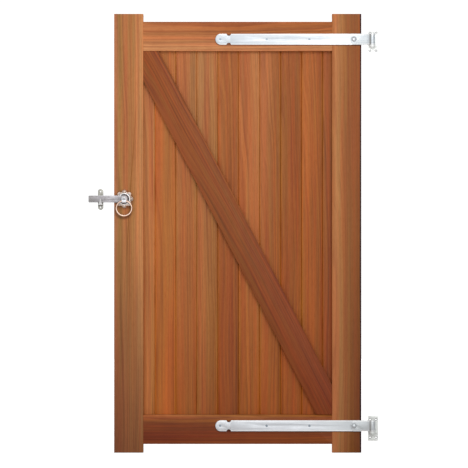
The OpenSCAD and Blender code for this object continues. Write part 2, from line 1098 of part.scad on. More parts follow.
lower_hook_plate();
upper_hook_plate();
lower_hook_pin();
upper_hook_pin();
latch_keep();
latch_stile();
hinge_stile();
top_rail();
bottom_rail();
board(0, timber);  // board_01
board(1, timber_red);  // board_02
board(2, timber);  // board_03
board(3, timber_red);  // board_04
board(4, timber);  // board_05
board(5, timber_red);  // board_06
board(6, timber);  // board_07
board(7, timber_red);  // board_08
board(8, timber);  // board_09
board(9, timber_red);  // board_10
brace();
tenon_wedges();
top_board_nails();
bottom_board_nails();
brace_nails();
top_strap();
bottom_strap();
strap_screws();
strap_bolts();
strap_bolt_washers();
strap_bolt_nuts();
front_rose();
back_rose();
front_rose_screws();
back_rose_screws();
latch_spindle();
latch_bar();
front_boss();
back_boss();
boss_pins();
front_ring();
back_ring();
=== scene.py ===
import math

import bmesh
import bpy
from mathutils import Matrix, Vector


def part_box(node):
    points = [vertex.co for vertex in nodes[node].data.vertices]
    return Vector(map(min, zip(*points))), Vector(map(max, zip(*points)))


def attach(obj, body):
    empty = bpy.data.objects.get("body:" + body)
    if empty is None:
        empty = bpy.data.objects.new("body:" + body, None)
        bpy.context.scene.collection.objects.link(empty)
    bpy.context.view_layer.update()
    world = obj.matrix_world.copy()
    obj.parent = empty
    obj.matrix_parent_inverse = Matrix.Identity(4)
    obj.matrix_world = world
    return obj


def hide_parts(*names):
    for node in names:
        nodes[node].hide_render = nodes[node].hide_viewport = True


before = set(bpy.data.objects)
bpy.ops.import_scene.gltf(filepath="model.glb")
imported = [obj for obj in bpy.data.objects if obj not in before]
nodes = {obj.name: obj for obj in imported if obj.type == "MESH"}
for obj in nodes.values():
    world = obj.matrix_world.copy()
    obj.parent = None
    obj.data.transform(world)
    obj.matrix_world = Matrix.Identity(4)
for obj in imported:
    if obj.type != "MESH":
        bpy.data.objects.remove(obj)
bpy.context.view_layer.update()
scene = bpy.context.scene
print("garden gate: frame loaded,", len(nodes), "nodes")

mm = 0.001


# small helpers for node trees

def addNode(tree, kind, inputs=None, **settings):
    node = tree.nodes.new(kind)
    for key, value in settings.items():
        setattr(node, key, value)
    for key, value in (inputs or {}).items():
        if isinstance(value, bpy.types.NodeSocket):
            tree.links.new(value, node.inputs[key])
        else:
            node.inputs[key].default_value = value
    return node


def calc(tree, operation, a, b=0.0, clamp=False):
    return addNode(tree, "ShaderNodeMath", {0: a, 1: b}, operation=operation, use_clamp=clamp).outputs[0]


def vectorCalc(tree, operation, a, b=(0, 0, 0)):
    return addNode(tree, "ShaderNodeVectorMath", {0: a, 1: b}, operation=operation).outputs[0]


def mixColour(tree, factor, a, b, blend="MIX"):
    node = addNode(tree, "ShaderNodeMix", {0: factor, 6: a, 7: b}, data_type="RGBA", blend_type=blend)
    return node.outputs[2]


def remap(tree, value, low, high, toLow=0.0, toHigh=1.0):
    settings = {"Value": value, "From Min": low, "From Max": high, "To Min": toLow, "To Max": toHigh}
    return addNode(tree, "ShaderNodeMapRange", settings).outputs[0]


def noiseAt(tree, vector, stretch, detail=3.0, roughness=0.55):
    scaled = vectorCalc(tree, "MULTIPLY", vector, stretch)
    settings = {"Vector": scaled, "Scale": 1.0, "Detail": detail, "Roughness": roughness}
    return addNode(tree, "ShaderNodeTexNoise", settings).outputs[0]


def attributeAt(tree, layer):
    return addNode(tree, "ShaderNodeAttribute", attribute_name=layer).outputs["Fac"]


def partsOf(tree, vector):
    return addNode(tree, "ShaderNodeSeparateXYZ", {0: vector}).outputs


def lengthOf(tree, vector):
    return addNode(tree, "ShaderNodeVectorMath", {0: vector}, operation="LENGTH").outputs["Value"]


def newGroup(name, inputs, outputs):
    group = bpy.data.node_groups.new(name, "ShaderNodeTree")
    for label, kind, value in inputs:
        socket = group.interface.new_socket(name=label, in_out="INPUT", socket_type="NodeSocket" + kind)
        if value is not None:
            socket.default_value = value
    for label, kind in outputs:
        group.interface.new_socket(name=label, in_out="OUTPUT", socket_type="NodeSocket" + kind)
    return group, group.nodes.new("NodeGroupInput").outputs, group.nodes.new("NodeGroupOutput").inputs


def linked(tree, source, target):
    tree.links.new(source, target)


def tinted(red, green, blue):
    # screen values 0-255 to a linear colour
    def linear(v):
        v = v / 255
        return v / 12.92 if v <= 0.04045 else ((v + 0.055) / 1.055) ** 2.4
    return (linear(red), linear(green), linear(blue), 1.0)


# the grain of a planed hardwood, running along z of the vector it is given;
# each stretch is how many times the pattern changes in a metre, across and along

grain = {
    "swayStretch": (7, 7, 1.1), "ribbonStretch": (46, 46, 1.3), "fibreStretch": (260, 260, 3.2),
    "poreStretch": (1100, 1100, 34), "bandStretch": (52, 52, 1.3), "seedStep": (1.71, 2.37, 0.93),
    "heart": (0.07, 0.13, 0.4), "heartLean": (1, 1, 0.05), "ringCount": 230, "ringSway": 7, "contrast": 6.5,
    "deep": (0.62, 0.5, 0.42), "pale": (1.28, 1.36, 1.45), "redder": (1.07, 0.92, 0.86),
    "browner": (0.93, 1.05, 1.02), "ringShare": 0.36, "ribbonShare": 0.32, "fibreShare": 0.32,
    "poreSpan": (0.56, 0.66), "bandSpan": (0.36, 0.64), "fibreSpan": (0.3, 0.7), "roughness": (0.45, 0.62),
    "ringHeight": 0.4,
}


def makeTimberGrain():
    group, given, out = newGroup("timberGrain", [
        ("Vector", "Vector", None), ("Seed", "Float", 0.0), ("Body", "Color", (0.4, 0.2, 0.1, 1)),
        ("Figure", "Float", 0.5), ("Pores", "Float", 0.5),
    ], [("Color", "Color"), ("Roughness", "Float"), ("Height", "Float")])
    steps = {i: calc(group, "MULTIPLY", given["Seed"], step) for i, step in enumerate(grain["seedStep"])}
    offset = addNode(group, "ShaderNodeCombineXYZ", steps).outputs[0]
    spot = vectorCalc(group, "ADD", given["Vector"], offset)
    sway = noiseAt(group, spot, grain["swayStretch"], 2)
    # growth rings round a heart that lies beside the piece, leaning a little along it
    heart = vectorCalc(group, "ADD", given["Vector"], grain["heart"])
    reach = lengthOf(group, vectorCalc(group, "MULTIPLY", heart, grain["heartLean"]))
    ringAt = calc(group, "ADD", calc(group, "MULTIPLY", reach, grain["ringCount"]),
                  calc(group, "MULTIPLY", sway, grain["ringSway"]))
    ringAt = calc(group, "ADD", ringAt, given["Seed"])
    ringNoise = {"W": ringAt, "Scale": 1.0, "Detail": 3.0, "Roughness": 0.6}
    rings = addNode(group, "ShaderNodeTexNoise", ringNoise, noise_dimensions="1D").outputs[0]
    ribbon = noiseAt(group, spot, grain["ribbonStretch"], 4, 0.6)
    fibre = noiseAt(group, spot, grain["fibreStretch"], 5, 0.7)
    pores = remap(group, noiseAt(group, spot, grain["poreStretch"], 2), *grain["poreSpan"])
    # below the middle tone the wood darkens, and above it the wood pales
    tone = calc(group, "ADD", calc(group, "MULTIPLY", rings, grain["ringShare"]),
                calc(group, "MULTIPLY", ribbon, grain["ribbonShare"]))
    tone = calc(group, "ADD", tone, calc(group, "MULTIPLY", fibre, grain["fibreShare"]))
    centred = calc(group, "MULTIPLY", calc(group, "SUBTRACT", tone, 0.5), given["Figure"])
    dark = calc(group, "MULTIPLY", centred, -grain["contrast"], True)
    light = calc(group, "MULTIPLY", centred, grain["contrast"], True)
    deep = vectorCalc(group, "MULTIPLY", given["Body"], grain["deep"])
    pale = vectorCalc(group, "MULTIPLY", given["Body"], grain["pale"])
    colour = mixColour(group, dark, given["Body"], deep)
    colour = mixColour(group, light, colour, pale)
    # bands of redder and of browner wood
    hue = remap(group, noiseAt(group, spot, grain["bandStretch"], 2), *grain["bandSpan"])
    redder = vectorCalc(group, "MULTIPLY", colour, grain["redder"])
    browner = vectorCalc(group, "MULTIPLY", colour, grain["browner"])
    colour = mixColour(group, hue, redder, browner)
    colour = mixColour(group, calc(group, "MULTIPLY", pores, given["Pores"]), colour, deep)
    linked(group, colour, out["Color"])
    rough = remap(group, fibre, *grain["fibreSpan"], *grain["roughness"])
    linked(group, rough, out["Roughness"])
    height = calc(group, "ADD", fibre, calc(group, "MULTIPLY", rings, grain["ringHeight"]))
    linked(group, calc(group, "SUBTRACT", height, pores), out["Height"])
    return group


# worn arrises, end grain and mottling; the arris input also brings in the painted highlight on slopes

wear = {
    "patchStretch": (9, 9, 5), "mottleStretch": (14, 14, 3.5), "paledWearAndLight": (1.3, 1.5, 1.7),
    "shade": (0.62, 0.52, 0.48), "mottleDepth": 0.22, "endColour": (0.11, 0.045, 0.022, 1), "endDepth": 0.5,
    "endRoughness": 0.25, "patchSpan": (0.35, 0.65), "paleSpan": (0.1, 0.6), "mottleSpan": (0.4, 0.75),
}


def makeTimberWearAndLight():
    group, given, out = newGroup("timberWearAndLight", [
        ("Vector", "Vector", None), ("Color", "Color", (0.4, 0.2, 0.1, 1)), ("Roughness", "Float", 0.5),
        ("Arris", "Float", 0.0), ("End", "Float", 0.0),
    ], [("Color", "Color"), ("Roughness", "Float")])
    patch = noiseAt(group, given["Vector"], wear["patchStretch"], 4)
    pale = vectorCalc(group, "MULTIPLY", given["Color"], wear["paledWearAndLight"])
    patches = remap(group, patch, *wear["patchSpan"], *wear["paleSpan"])
    paledWearAndLight = calc(group, "MULTIPLY", given["Arris"], patches)
    colour = mixColour(group, paledWearAndLight, given["Color"], pale)
    ends = calc(group, "MULTIPLY", given["End"], wear["endDepth"])
    colour = mixColour(group, ends, colour, wear["endColour"])
    spots = noiseAt(group, given["Vector"], wear["mottleStretch"], 4)
    spots = remap(group, spots, *wear["mottleSpan"])
    mottle = calc(group, "MULTIPLY", spots, wear["mottleDepth"])
    shade = vectorCalc(group, "MULTIPLY", colour, wear["shade"])
    linked(group, mixColour(group, mottle, colour, shade), out["Color"])
    rougher = calc(group, "MULTIPLY", given["End"], wear["endRoughness"])
    linked(group, calc(group, "ADD", given["Roughness"], rougher), out["Roughness"])
    return group


# zinc over steel: crystals, drawn streaks and dull bloom

coat = {
    "crystals": 150.0, "drawnStretch": (2.5, 2.5, 75), "scratchStretch": (8, 8, 420),
    "cloudStretch": (26, 26, 34), "speckStretch": (420, 420, 420), "crystalDepth": 0.12, "edgeDepth": 0.5,
    "edgeColour": (0.97, 0.97, 0.97, 1), "darkBandColour": (0.2, 0.19, 0.17, 1),
    "paintedShadeColour": (0.05, 0.05, 0.06, 1), "dullRoughness": 0.22, "drawnShare": 0.7, "scratchShare": 0.3,
    "bloomSpan": (0.42, 0.66), "streakSpan": (0.42, 0.62), "darkBandSpan": (0.3, 0.6, 0.4, 1.0),
    "roughSpan": (0.3, 0.7, 0.3, 0.4), "crystalHeight": 0.25, "speckHeight": 0.4, "cloudHeight": 1.4,
}


def makeZincCoat():
    group, given, out = newGroup("zincCoat", [
        ("Vector", "Vector", None), ("Bright", "Color", (0.9, 0.92, 0.94, 1)),
        ("Dull", "Color", (0.6, 0.62, 0.64, 1)), ("Bloom", "Float", 0.4), ("Streak", "Float", 0.4),
        ("Edge", "Float", 0.0), ("DarkBand", "Float", 0.0), ("Dark", "Float", 0.0),
    ], [("Color", "Color"), ("Roughness", "Float"), ("Height", "Float")])
    crystals = {"Vector": given["Vector"], "Scale": coat["crystals"]}
    cells = addNode(group, "ShaderNodeTexVoronoi", crystals).outputs["Color"]
    crystal = addNode(group, "ShaderNodeSeparateColor", {0: cells}).outputs[0]
    drawn = noiseAt(group, given["Vector"], coat["drawnStretch"], 3)
    scratch = noiseAt(group, given["Vector"], coat["scratchStretch"], 3)
    drawn = calc(group, "ADD", calc(group, "MULTIPLY", drawn, coat["drawnShare"]),
                 calc(group, "MULTIPLY", scratch, coat["scratchShare"]))
    cloud = noiseAt(group, given["Vector"], coat["cloudStretch"], 4)
    speck = noiseAt(group, given["Vector"], coat["speckStretch"], 2)
    bloom = calc(group, "MULTIPLY", remap(group, cloud, *coat["bloomSpan"]), given["Bloom"])
    streak = calc(group, "MULTIPLY", remap(group, drawn, *coat["streakSpan"]), given["Streak"])
    dull = calc(group, "ADD", bloom, streak, True)
    dull = calc(group, "ADD", dull, calc(group, "MULTIPLY", crystal, coat["crystalDepth"]), True)
    colour = mixColour(group, dull, given["Bright"], given["Dull"])
    edge = calc(group, "MULTIPLY", given["Edge"], coat["edgeDepth"])
    colour = mixColour(group, edge, colour, coat["edgeColour"])
    # this band paints shade in a strap's throat beside its eye, and darkens the bar towards its tip
    darkBand = calc(group, "MULTIPLY", given["DarkBand"], remap(group, cloud, *coat["darkBandSpan"]))
    colour = mixColour(group, darkBand, colour, coat["darkBandColour"])
    # the Dark input paints shade: in the hole countersinks, in the rose well and under the straps' lower
    # edges
    colour = mixColour(group, given["Dark"], colour, coat["paintedShadeColour"])
    linked(group, colour, out["Color"])
    rough = remap(group, speck, *coat["roughSpan"])
    rough = calc(group, "ADD", rough, calc(group, "MULTIPLY", dull, coat["dullRoughness"]))
    linked(group, rough, out["Roughness"])
    height = calc(group, "ADD", calc(group, "MULTIPLY", crystal, coat["crystalHeight"]),
                  calc(group, "MULTIPLY", speck, coat["speckHeight"]))
    height = calc(group, "ADD", height, calc(group, "MULTIPLY", cloud, coat["cloudHeight"]))
    linked(group, height, out["Height"])
    return group


timberGrain = makeTimberGrain()
timberWearAndLight = makeTimberWearAndLight()
zincCoat = makeZincCoat()


# sheen is what the timber's own gloss adds to each channel, and is taken off its tones;
# a piece may have its own wander, which is how far its tones stray across it

timberFinish = {
    "sheen": (0.01, 0.014, 0.022), "darkest": 0.006, "shadowTint": (0.3, 0.26, 0.24), "wander": 0.16,
    "wanderStretch": (6, 6, 2.2), "sideInset": 0.12, "faceSpan": (1 * mm, 3 * mm), "relief": 0.35,
    "reliefDepth": 0.6 * mm, "specular": 0.25,
}
zincRelief = {"strength": 0.25, "depth": 0.4 * mm}


def toneRamp(tree, across, tones):
    ramp = addNode(tree, "ShaderNodeValToRGB", {0: across})
    ramp.color_ramp.interpolation = "EASE"
    stops = ramp.color_ramp.elements
    while len(stops) < len(tones):
        stops.new(0.5)
    for i, tone in enumerate(tones):
        stops[i].position = tone[0]
    for i, tone in enumerate(tones):
        stops[i].color = timberTint(tone[1])
    return ramp.outputs[0]


def timberTint(tone):
    red, green, blue = [value - less for value, less in zip(tinted(*tone), timberFinish["sheen"])]
    return (red, green, max(timberFinish["darkest"], blue), 1.0)


def paintedShadowNear(tree, place, iron):
    # painted shadow on the front of the timber round an iron plate with round ends, most of it just below
    x, y, z = partsOf(tree, place)
    before = calc(tree, "SUBTRACT", iron["left"], x)
    past = calc(tree, "SUBTRACT", x, iron["right"])
    sideways = calc(tree, "MAXIMUM", calc(tree, "MAXIMUM", before, past), 0.0)
    upwards = calc(tree, "ADD", calc(tree, "SUBTRACT", z, iron["middle"]), iron["drop"])
    spot = addNode(tree, "ShaderNodeCombineXYZ", {0: sideways, 1: upwards}).outputs[0]
    apart = lengthOf(tree, spot)
    if "hoop" in iron:
        apart = calc(tree, "ABSOLUTE", calc(tree, "SUBTRACT", apart, iron["hoop"]))
    near = remap(tree, apart, iron["radius"], iron["radius"] + iron["reach"], iron["depth"], 0.0)
    shallow, deep = [iron["face"] + depth for depth in timberFinish["faceSpan"]]
    onFace = remap(tree, y, shallow, deep, 1.0, 0.0)
    return calc(tree, "MULTIPLY", near, onFace)


def timberMaterial(name, piece, seed, centre, turn, size):
    # centre and turn bring the grain onto the piece: its z runs along the member and its x across it
    material = bpy.data.materials.new(name)
    material.use_nodes = True
    tree = material.node_tree
    shader = tree.nodes["Principled BSDF"]
    place = addNode(tree, "ShaderNodeTexCoord").outputs["Object"]
    aligned = addNode(tree, "ShaderNodeMapping", {"Vector": place, "Location": centre, "Rotation": turn},
                      vector_type="TEXTURE").outputs[0]
    wander = calc(tree, "SUBTRACT", noiseAt(tree, aligned, timberFinish["wanderStretch"], 2), 0.5)
    wander = calc(tree, "MULTIPLY", wander, piece.get("wander", timberFinish["wander"]))
    parts = partsOf(tree, aligned)
    across = remap(tree, parts[0], -size[0] / 2, size[0] / 2)
    across = calc(tree, "ADD", across, wander)
    # the side faces take a tone from a little way in, and so miss the painted shade at the edge
    inset = calc(tree, "MULTIPLY", attributeAt(tree, "side"), timberFinish["sideInset"])
    across = calc(tree, "SUBTRACT", across, inset)
    along = remap(tree, parts[2], -size[1] / 2, size[1] / 2)
    changed = remap(tree, along, piece["change"][0], piece["change"][1])
    foot = toneRamp(tree, across, piece["foot"])
    body = mixColour(tree, changed, foot, toneRamp(tree, across, piece["top"]))
    figured = addNode(tree, "ShaderNodeGroup", node_tree=timberGrain)
    linked(tree, aligned, figured.inputs["Vector"])
    linked(tree, body, figured.inputs["Body"])
    figured.inputs["Seed"].default_value = seed
    figured.inputs["Figure"].default_value = piece["figure"]
    figured.inputs["Pores"].default_value = piece["pores"]
    wornAndLit = addNode(tree, "ShaderNodeGroup", node_tree=timberWearAndLight)
    linked(tree, place, wornAndLit.inputs["Vector"])
    linked(tree, figured.outputs["Color"], wornAndLit.inputs["Color"])
    linked(tree, figured.outputs["Roughness"], wornAndLit.inputs["Roughness"])
    linked(tree, attributeAt(tree, "arris"), wornAndLit.inputs["Arris"])
    linked(tree, attributeAt(tree, "endGrain"), wornAndLit.inputs["End"])
    colour = wornAndLit.outputs["Color"]
    # painted shadows round the straps, the rose and the ring
    for iron in piece.get("irons", ()):
        shadowed = vectorCalc(tree, "MULTIPLY", colour, timberFinish["shadowTint"])
        colour = mixColour(tree, paintedShadowNear(tree, place, iron), colour, shadowed)
    relief = {"Height": figured.outputs["Height"], "Strength": timberFinish["relief"],
              "Distance": timberFinish["reliefDepth"]}
    bump = addNode(tree, "ShaderNodeBump", relief)
    linked(tree, colour, shader.inputs["Base Color"])
    linked(tree, wornAndLit.outputs["Roughness"], shader.inputs["Roughness"])
    linked(tree, bump.outputs[0], shader.inputs["Normal"])
    shader.inputs["Specular IOR Level"].default_value = timberFinish["specular"]
    return material


def zincMaterial(name, bright, dull, bloom, streak, metal=0.75, darkBand=None, fade=None, rim=None):
    # soil is a dark place along x: full out to fast on either side of at, and gone beyond clean; on a strap
    # it is painted shade in the throat beside the eye, and on the bar it darkens the tip;
    # fade takes the bright colour to another one from one place along x to another, as painted light along
    # a strap;
    # rim is a middle in z and how far above and below it the bright worn edge starts and is full
    material = bpy.data.materials.new(name)
    material.use_nodes = True
    tree = material.node_tree
    shader = tree.nodes["Principled BSDF"]
    place = addNode(tree, "ShaderNodeTexCoord").outputs["Object"]
    zinced = addNode(tree, "ShaderNodeGroup", node_tree=zincCoat)
    linked(tree, place, zinced.inputs["Vector"])
    zinced.inputs["Bright"].default_value = tinted(*bright)
    zinced.inputs["Dull"].default_value = tinted(*dull)
    zinced.inputs["Bloom"].default_value = bloom
    zinced.inputs["Streak"].default_value = streak
    sideways = partsOf(tree, place)[0]
    if fade:
        far = remap(tree, sideways, fade["from"], fade["to"])
        brights = mixColour(tree, far, tinted(*bright), tinted(*fade["bright"]))
        linked(tree, brights, zinced.inputs["Bright"])
    if darkBand:
        apart = calc(tree, "ABSOLUTE", calc(tree, "SUBTRACT", sideways, darkBand["at"]))
        darkening = remap(tree, apart, darkBand["fast"], darkBand["clean"], darkBand["depth"], 0.0)
        linked(tree, darkening, zinced.inputs["DarkBand"])
    # the arris attribute holds real wear, and also the painted highlights on the keep's nose and the rose
    # bead
    wornAndLit = attributeAt(tree, "arris")
    if rim:
        upwards = partsOf(tree, place)[2]
        apart = calc(tree, "ABSOLUTE", calc(tree, "SUBTRACT", upwards, rim["middle"]))
        wornAndLit = calc(tree, "MAXIMUM", wornAndLit, remap(tree, apart, rim["from"], rim["to"], 0.0, rim["depth"]))
    linked(tree, wornAndLit, zinced.inputs["Edge"])
    linked(tree, attributeAt(tree, "dark"), zinced.inputs["Dark"])
    relief = {"Height": zinced.outputs["Height"], "Strength": zincRelief["strength"],
              "Distance": zincRelief["depth"]}
    bump = addNode(tree, "ShaderNodeBump", relief)
    linked(tree, zinced.outputs["Color"], shader.inputs["Base Color"])
    linked(tree, zinced.outputs["Roughness"], shader.inputs["Roughness"])
    linked(tree, bump.outputs[0], shader.inputs["Normal"])
    shader.inputs["Metallic"].default_value = metal
    return material


# pieces worked up from a merged copy of a CAD node

merging = {"within": 0.001 * mm, "flat": 0.5}  # flat is in degrees
facing = {"side": 0.9, "end": 0.8, "slope": 0.3}  # how far a face's normal has to lean the given way


def mergedCopy(nodeName):
    bm = bmesh.new()
    bm.from_mesh(nodes[nodeName].data)
    bmesh.ops.remove_doubles(bm, verts=bm.verts[:], dist=merging["within"])
    bmesh.ops.dissolve_limit(bm, angle_limit=math.radians(merging["flat"]), verts=bm.verts[:],
                             edges=bm.edges[:])
    return bm


def easeEdges(bm, width, shortest, sharp=30, segments=2):
    # rounds the outside edges that are at least as long as shortest, and marks the new faces
    layer = bm.faces.layers.float.new("arris")
    edges = []
    for edge in bm.edges:
        if len(edge.link_faces) != 2 or edge.calc_length() < shortest:
            continue
        if edge.calc_face_angle_signed(0) > math.radians(sharp):
            edges.append(edge)
    made = bmesh.ops.bevel(bm, geom=edges, offset=width, offset_type="OFFSET", segments=segments,
                           profile=0.5, affect="EDGES", clamp_overlap=True, material=-1)
    for face in made["faces"]:
        face[layer] = 1.0


def markSlopes(bm, amount, most=0.95):
    # the planed slopes of a joint or a bevel are paled like an arris: wear, and at the larger amounts on
    # the boards and the bottom rail a painted highlight that lifts their shade
    layer = bm.faces.layers.float["arris"]
    for face in bm.faces:
        slope = max(abs(face.normal.x), abs(face.normal.z))
        if face.normal.y < -facing["slope"] and facing["slope"] < slope < most:
            face[layer] = amount


def markSides(bm, acrossGrain):
    layer = bm.faces.layers.float.new("side")
    for face in bm.faces:
        if face.normal.dot(acrossGrain) > facing["side"]:
            face[layer] = 1.0


def markEnds(bm, alongGrain):
    layer = bm.faces.layers.float.new("endGrain")
    for face in bm.faces:
        if abs(face.normal.dot(alongGrain)) > facing["end"]:
            face[layer] = 1.0


def addPiece(name, bm, material, body, replaced=(), smooth=30):
    bm.normal_update()
    shape = bpy.data.meshes.new(name)
    bm.to_mesh(shape)
    bm.free()
    shape.materials.append(material)
    piece = bpy.data.objects.new(name, shape)
    scene.collection.objects.link(piece)
    for polygon in shape.polygons:
        polygon.use_smooth = True
    shape.set_sharp_from_angle(angle=math.radians(smooth))
    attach(piece, body)
    if replaced:
        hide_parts(*replaced)
    return piece


def boxCentre(nodeName):
    low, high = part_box(nodeName)
    return (low + high) / 2


# painted shadows on the timber close to the straps and the rose, and a painted shadow of the ring on the
# stile

paintedShadow = {
    "drop": 2.6 * mm, "reach": 4.5 * mm, "depth": 0.85, "rose": 34 * mm, "roseReach": 10 * mm,
    "roseDepth": 0.6, "ringShadowLeft": 3 * mm, "ringShadowDrop": 8 * mm, "ringShadowWidth": 2 * mm,
    "ringShadowReach": 7 * mm, "ringShadowDepth": 0.6,
}


def besideStrap(strapName):
    low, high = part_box(strapName)
    radius = (high.z - low.z) / 2
    return {"left": low.x + radius, "right": high.x, "middle": (low.z + high.z) / 2, "drop": paintedShadow["drop"],
            "radius": radius - paintedShadow["drop"] / 2, "reach": paintedShadow["reach"], "depth": paintedShadow["depth"],
            "face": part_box("hinge_stile")[0].y}


def besideRose():
    middle = boxCentre("front_rose")
    return {"left": middle.x, "right": middle.x, "middle": middle.z, "drop": paintedShadow["drop"],
            "radius": paintedShadow["rose"], "reach": paintedShadow["roseReach"], "depth": paintedShadow["roseDepth"],
            "face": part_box("latch_stile")[0].y}


def besideRing():
    low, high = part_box("front_ring")
    outer = (high.x - low.x) / 2
    middle = (low.x + high.x) / 2 - paintedShadow["ringShadowLeft"]
    return {"left": middle, "right": middle, "middle": low.z + outer, "drop": paintedShadow["ringShadowDrop"],
            "hoop": outer - (high.y - low.y) / 2, "radius": paintedShadow["ringShadowWidth"],
            "reach": paintedShadow["ringShadowReach"], "depth": paintedShadow["ringShadowDepth"],
            "face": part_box("latch_stile")[0].y}


# the frame members; tones run across each piece, from the latch side or the top edge,
# at its foot or latch end and at its top or hinge end

# on the stiles the foot tones are darker than the top ones: partly the wood's own colour, partly painted
# shade for the light falling off towards the foot
members = {
    "latch_stile": {
        "axis": "z", "seed": 3.1, "slot": "stile_wood", "figure": 0.8, "pores": 0.4,
        "slopeWearAndLight": 1.0, "irons": [besideRose(), besideRing()],
        "foot": [(0.0, (128, 76, 54)), (0.3, (132, 82, 58)), (0.7, (138, 88, 60)),
                 (1.0, (144, 92, 62))],
        "top": [(0.05, (180, 114, 78)), (0.2, (166, 114, 68)), (0.36, (180, 112, 72)),
                (0.52, (170, 114, 70)), (0.66, (176, 116, 72)), (0.78, (192, 129, 84)),
                (0.95, (196, 132, 86))],
        "change": (0.02, 0.5),
    },
    "hinge_stile": {
        "axis": "z", "seed": 8.4, "slot": "stile_wood", "figure": 0.65, "pores": 0.4,
        "slopeWearAndLight": 1.0, "wander": 0.05, "shadedArris": True,
        "irons": [besideStrap("top_strap"), besideStrap("bottom_strap")],
        # the last, dark stop of each ramp is painted shade along the stile's outer edge
        "foot": [(0.05, (174, 112, 74)), (0.35, (161, 106, 68)), (0.5, (144, 91, 58)),
                 (0.68, (124, 76, 45)), (0.94, (118, 68, 42)), (0.956, (50, 33, 22))],
        "top": [(0.03, (174, 109, 68)), (0.13, (186, 121, 78)), (0.3, (172, 112, 70)),
                (0.42, (162, 102, 62)), (0.56, (150, 91, 56)), (0.8, (147, 87, 53)),
                (0.94, (150, 86, 51)), (0.956, (62, 41, 26))],
        "change": (0.05, 0.55),
    },
    "top_rail": {
        "axis": "x", "seed": 5.7, "slot": "top_rail_wood", "figure": 1.1, "pores": 0.4,
        "slopeWearAndLight": 1.0, "irons": [besideStrap("top_strap")],
        "foot": [(0.05, (192, 118, 76)), (0.2, (192, 120, 80)), (0.45, (198, 124, 80)),
                 (0.7, (194, 122, 80)), (0.85, (206, 134, 90))],
        "top": [(0.05, (172, 98, 58)), (0.2, (164, 94, 56)), (0.35, (170, 98, 58)), (0.6, (184, 114, 74)),
                (0.85, (200, 130, 88))],
        "change": (0.05, 0.5),
    },
    "bottom_rail": {
        "axis": "x", "seed": 11.3, "slot": "bottom_rail_wood", "figure": 1.2, "pores": 0.3,
        "slopeWearAndLight": 2.2, "irons": [besideStrap("bottom_strap")],
        "foot": [(0.05, (158, 92, 62)), (0.2, (146, 80, 50)), (0.4, (130, 68, 44)), (0.75, (122, 60, 38)),
                 (1.0, (132, 70, 46))],
        "top": [(0.05, (150, 88, 52)), (0.25, (138, 76, 46)), (0.5, (130, 68, 42)), (0.8, (136, 72, 44)),
                (1.0, (142, 76, 46))],
        "change": (0.2, 0.9),
    },
}
arrisWidth = 1.6 * mm
longEdge = 20 * mm  # shorter edges of the timber stay sharp
turns = {"z": (0, 0, 0), "x": (0, math.pi / 2, 0)}
along = {"z": Vector((0, 0, 1)), "x": Vector((1, 0, 0))}


def makeMembers():
    for name, member in members.items():
        bm = mergedCopy(name)
        easeEdges(bm, arrisWidth, longEdge)
        bm.normal_update()
        markSlopes(bm, member["slopeWearAndLight"])
        markSides(bm, along["x"] if member["axis"] == "z" else -along["z"])
        # the hinge stile's right-facing faces keep no pale wear, so its painted shade stays dark
        if member.get("shadedArris"):
            arris = bm.faces.layers.float["arris"]
            for face in bm.faces:
                if face.normal.x > facing["slope"]:
                    face[arris] = 0.0
        markEnds(bm, along[member["axis"]])
        low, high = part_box(name)
        span = high - low
        size = (span.x, span.z) if member["axis"] == "z" else (span.z, span.x)
        material = timberMaterial(name + "Wood", member, member["seed"], boxCentre(name),
                                  turns[member["axis"]], size)
        addPiece(name + "_timber", bm, material, "leaf", [name])


# the boards, latch side first; each has its own tones: the latch edge and the hinge edge at the top,
# then the same two at the foot

# the boards' foot tones are darker than their top tones: partly the wood's own colour, partly painted shade
# for the light falling off towards the foot
boards = {
    "eased": 0.7 * mm, "slopeWearAndLight": 2.4, "figure": 0.95, "pores": 0.35, "change": (0.05, 0.95),
    "firstSeed": 17.0, "seedStep": 4.3,
    "tones": [
        ((195, 124, 80), (189, 118, 76), (187, 113, 69), (182, 111, 65)),
        ((184, 108, 62), (176, 108, 64), (180, 100, 52), (178, 102, 54)),
        ((182, 116, 74), (175, 114, 72), (166, 94, 50), (167, 97, 53)),
        ((180, 117, 76), (175, 113, 71), (168, 100, 58), (156, 88, 48)),
        ((172, 99, 59), (167, 96, 57), (150, 82, 42), (142, 74, 34)),
        ((180, 107, 67), (183, 115, 73), (166, 92, 48), (166, 92, 48)),
        ((179, 112, 72), (158, 93, 54), (164, 90, 46), (158, 88, 48)),
        ((156, 90, 54), (160, 91, 52), (154, 83, 43), (158, 84, 42)),
        ((177, 102, 58), (158, 91, 51), (162, 88, 46), (153, 81, 41)),
        ((161, 95, 57), (153, 86, 50), (145, 74, 38), (141, 73, 36)),
    ],
}


def makeBoards():
    for i, tones in enumerate(boards["tones"]):
        name = f"board_{i + 1:02d}"
        bm = mergedCopy(name)
        easeEdges(bm, boards["eased"], longEdge)
        bm.normal_update()
        markSlopes(bm, boards["slopeWearAndLight"])
        markEnds(bm, along["z"])
        low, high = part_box(name)
        piece = {"figure": boards["figure"], "pores": boards["pores"], "change": boards["change"],
                 "top": [(0.1, tones[0]), (0.9, tones[1])], "foot": [(0.1, tones[2]), (0.9, tones[3])]}
        seed = boards["firstSeed"] + boards["seedStep"] * i
        material = timberMaterial(name + "Wood", piece, seed, boxCentre(name), turns["z"],
                                  (high.x - low.x, high.z - low.z))
        addPiece(name + "_timber", bm, material, "leaf", [name])


# the brace, with its grain along the diagonal

